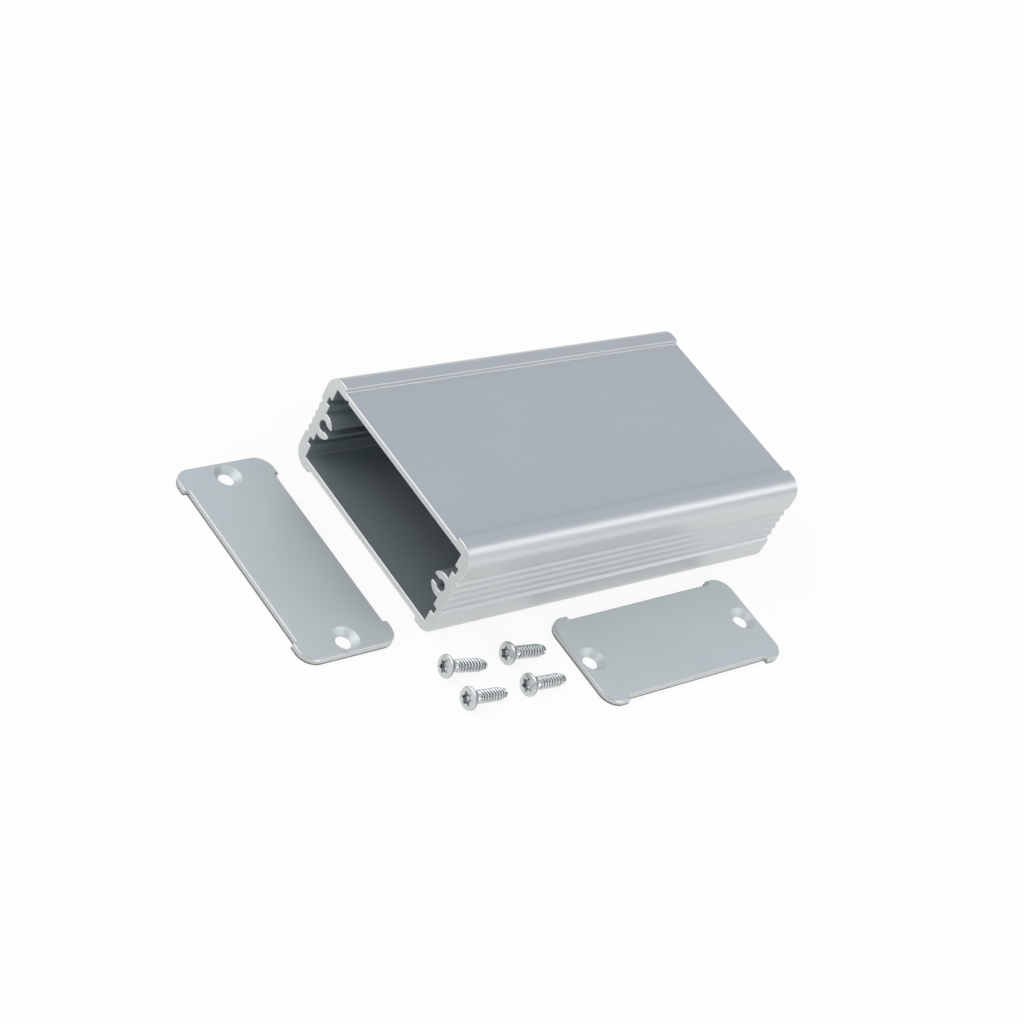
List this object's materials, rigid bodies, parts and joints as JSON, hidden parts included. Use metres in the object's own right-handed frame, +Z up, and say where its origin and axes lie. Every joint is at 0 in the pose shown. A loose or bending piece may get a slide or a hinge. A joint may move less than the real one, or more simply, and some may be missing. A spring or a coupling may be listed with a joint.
{
  "type": "extruded aluminium enclosure",
  "caption": "Flat tube-shaped instrument case of extruded aluminium with ribbed sides and inner guide grooves, laid out open beside its loose end plates and countersunk screws.",
  "frame": {"origin": "on the surface that everything lies on, under the middle of the case", "axes": "+X along the case, from the end by the loose end plate to the far end; +Y across the case, away from the loose screws; +Z up"},
  "size_m": [0.1328, 0.0835, 0.025],
  "materials": {
    "case_aluminium": "clear anodised, satin, with fine drawing lines along the case and sawn ends",
    "plate_aluminium": "clear anodised, matt satin",
    "screw_steel": "bright zinc plate"
  },
  "bodies": {
    "root": {"extruded_case": "case_aluminium", "end_plate_left": "plate_aluminium", "end_plate_right": "plate_aluminium", "screw_1": "screw_steel", "screw_2": "screw_steel", "screw_3": "screw_steel", "screw_4": "screw_steel"}
  },
  "joints": []
}
